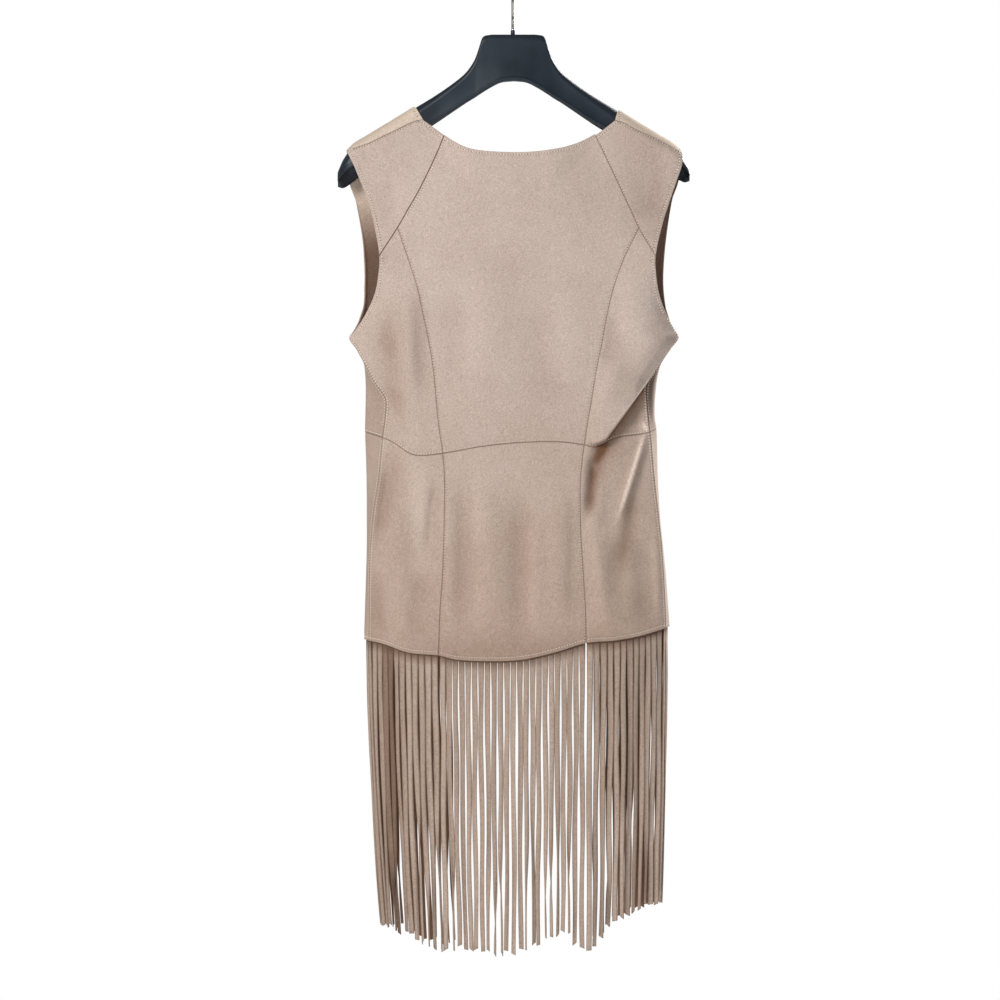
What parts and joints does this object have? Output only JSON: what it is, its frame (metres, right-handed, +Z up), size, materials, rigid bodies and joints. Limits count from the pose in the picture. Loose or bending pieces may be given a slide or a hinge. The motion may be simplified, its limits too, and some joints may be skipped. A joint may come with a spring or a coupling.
{
  "type": "fringe vest on a hanger",
  "caption": "Long sleeveless suede vest with a panelled back, open front and long hem fringe, hung on a moulded plastic clothes hanger with a wire hook.",
  "frame": {"origin": "where the top of the hook's bend bears on its rail", "axes": "+Z up, -Y towards the garment's back, which the picture shows, +X to the right as seen from the back"},
  "size_m": [0.425, 0.1063, 1.1684],
  "materials": {
    "suede_back": "napped suede, matte",
    "suede_front": "napped suede, matte",
    "suede_fringe": "napped suede, matte",
    "hanger_plastic": "moulded, satin",
    "hook_steel": "plated wire, bright"
  },
  "bodies": {
    "root": {"back_center_upper": "suede_back", "back_center_lower": "suede_back", "back_side_upper_left": "suede_back", "back_side_upper_right": "suede_back", "back_side_lower_left": "suede_back", "back_side_lower_right": "suede_back", "back_shoulder_left": "suede_back", "back_shoulder_right": "suede_back", "front_upper_left": "suede_front", "front_upper_right": "suede_front", "front_lower_left": "suede_front", "front_lower_right": "suede_front", "fringe_back_center": "suede_fringe", "fringe_back_left": "suede_fringe", "fringe_back_right": "suede_fringe", "fringe_front_left": "suede_fringe", "fringe_front_right": "suede_fringe", "hanger_arms": "hanger_plastic", "hanger_hook": "hook_steel"}
  },
  "joints": []
}
